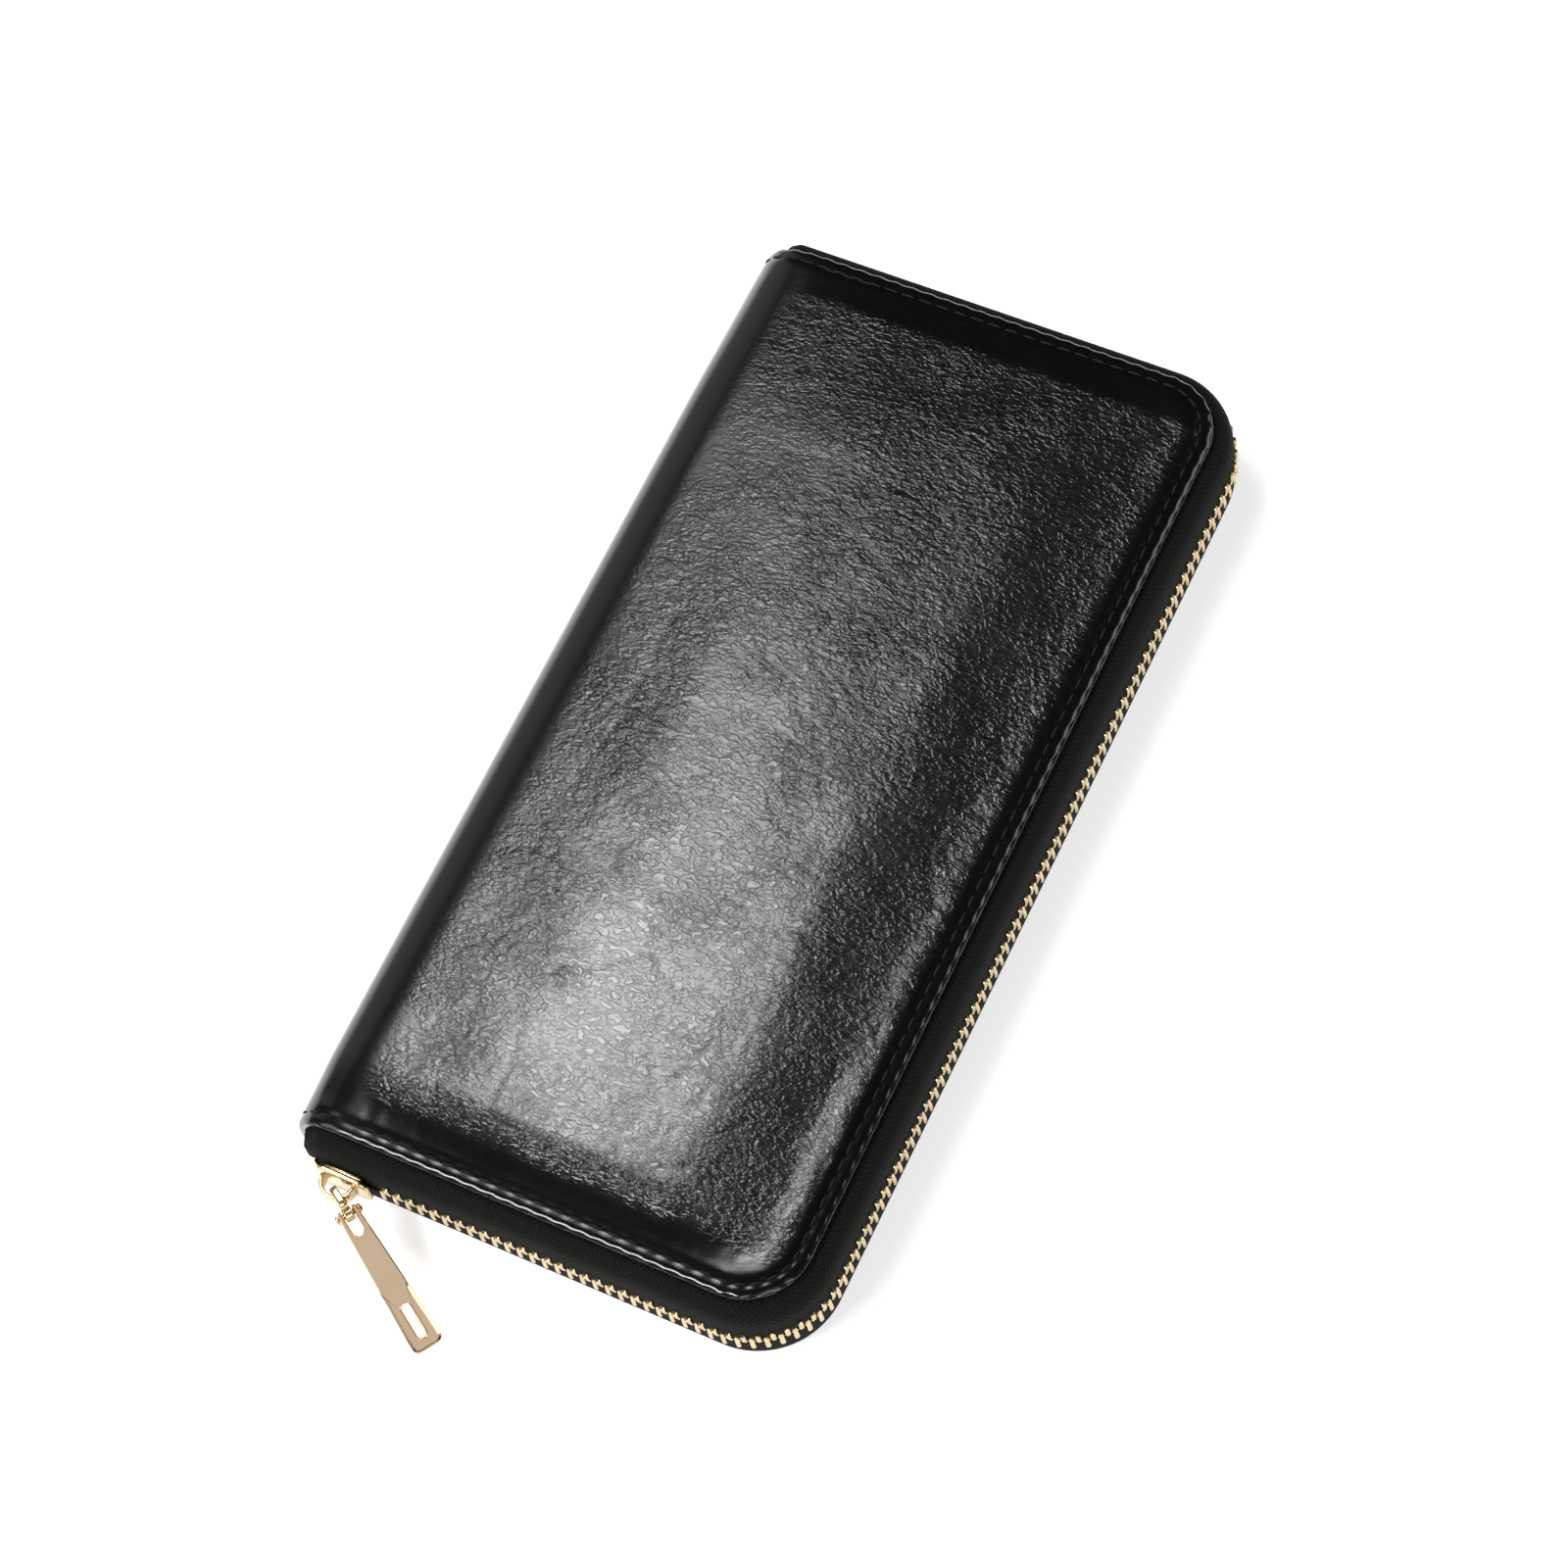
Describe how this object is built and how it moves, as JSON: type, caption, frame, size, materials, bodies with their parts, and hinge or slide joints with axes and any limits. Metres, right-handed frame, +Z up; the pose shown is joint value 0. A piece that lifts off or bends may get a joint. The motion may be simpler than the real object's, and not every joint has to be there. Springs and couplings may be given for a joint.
{
  "type": "zip around wallet",
  "caption": "Long padded leather wallet closed by a metal zip round three sides, with card slots, a zipped coin pocket, a rounded spine and a long forked pull.",
  "frame": {"origin": "on the resting face, under the middle of the back cover, between the two creased corners and the two zip corners", "axes": "+Y along the wallet's length, away from the parked slider; +X from the spine to the zip; +Z up through the closed wallet"},
  "size_m": [0.0996, 0.2188, 0.0256],
  "materials": {
    "leather": "glossy waxed and softly creased grain, painted turned edge",
    "pocket_leather": "smooth semi-matt, thin",
    "foam": "matt foam",
    "board": "matt pressed board",
    "lining": "fine matt woven cloth",
    "zip_tape": "black herringbone tape",
    "teeth_metal": "polished pale gold plate",
    "slider_metal": "polished pale gold plate"
  },
  "bodies": {
    "back_cover": {"back_leather": "leather", "back_pad": "foam", "back_board": "board", "back_lining": "lining", "back_card_slot_1": "pocket_leather", "back_card_slot_2": "pocket_leather", "back_card_slot_3": "pocket_leather", "back_card_slot_4": "pocket_leather", "lower_zip_tape": "zip_tape", "lower_zip_teeth": "teeth_metal", "lower_top_stop": "slider_metal", "bottom_stop": "slider_metal", "gusset_back_slider_end": "lining", "gusset_back_far_end": "lining"},
    "spine": {"spine_leather": "leather", "spine_pad": "foam", "spine_lining": "lining", "coin_pocket_back_wall": "lining", "coin_pocket_front_wall": "lining", "coin_pocket_gusset": "lining", "coin_zip_back_tape": "zip_tape", "coin_zip_front_tape": "zip_tape", "coin_zip_back_teeth": "teeth_metal", "coin_zip_front_teeth": "teeth_metal", "coin_zip_stops": "slider_metal"},
    "front_cover": {"front_leather": "leather", "front_pad": "foam", "front_board": "board", "front_lining": "lining", "front_card_slot_1": "pocket_leather", "front_card_slot_2": "pocket_leather", "front_card_slot_3": "pocket_leather", "front_card_slot_4": "pocket_leather", "upper_zip_tape": "zip_tape", "upper_zip_teeth": "teeth_metal", "upper_top_stop": "slider_metal", "gusset_front_slider_end": "lining", "gusset_front_far_end": "lining"},
    "zip_slider": {"slider_body": "slider_metal", "slider_hoop": "slider_metal"},
    "pull_link": {"pull_link": "slider_metal"},
    "pull": {"pull_tab": "slider_metal", "pull_pin": "slider_metal"},
    "coin_slider": {"coin_slider_body": "slider_metal", "coin_slider_hoop": "slider_metal"},
    "coin_pull": {"coin_pull_tab": "slider_metal"}
  },
  "joints": [
    {"name": "spine_fold", "type": "hinge", "parent": "back_cover", "child": "spine", "pos_m": [-0.043, 0, 0.001], "axis": [0, -1, 0], "range_deg": [0, 45], "deforming": ["gusset_back_slider_end", "gusset_back_far_end"]},
    {"name": "cover_fold", "type": "hinge", "parent": "spine", "child": "front_cover", "pos_m": [-0.043, 0, 0.0246], "axis": [0, -1, 0], "range_deg": [0, 45], "deforming": ["gusset_front_slider_end", "gusset_front_far_end"]},
    {"name": "zip_slide", "type": "slide", "parent": "back_cover", "child": "zip_slider", "axis": [1, 0, 0], "range_m": [0, 0.064], "deforming": ["lower_zip_teeth", "upper_zip_teeth"]},
    {"name": "link_swing", "type": "hinge", "parent": "zip_slider", "child": "pull_link", "pos_m": [-0.0371, -0.10195, 0.0128], "axis": [0, 0, 1], "range_deg": [-110, 15]},
    {"name": "pull_swing", "type": "hinge", "parent": "pull_link", "child": "pull", "pos_m": [-0.03323, -0.10444, 0.012], "axis": [0.5402, 0.8415, 0], "range_deg": [-110, 65]},
    {"name": "coin_slide", "type": "slide", "parent": "spine", "child": "coin_slider", "axis": [0, -1, 0], "range_m": [0, 0.149], "deforming": ["coin_zip_back_teeth", "coin_zip_front_teeth"]},
    {"name": "coin_pull_swing", "type": "hinge", "parent": "coin_slider", "child": "coin_pull", "pos_m": [0.03225, 0.074, 0.0128], "axis": [0, 0, 1], "range_deg": [-5, 150]}
  ],
  "couplings": [
    {"joint": "cover_fold", "follows": "spine_fold", "ratio": 1}
  ]
}
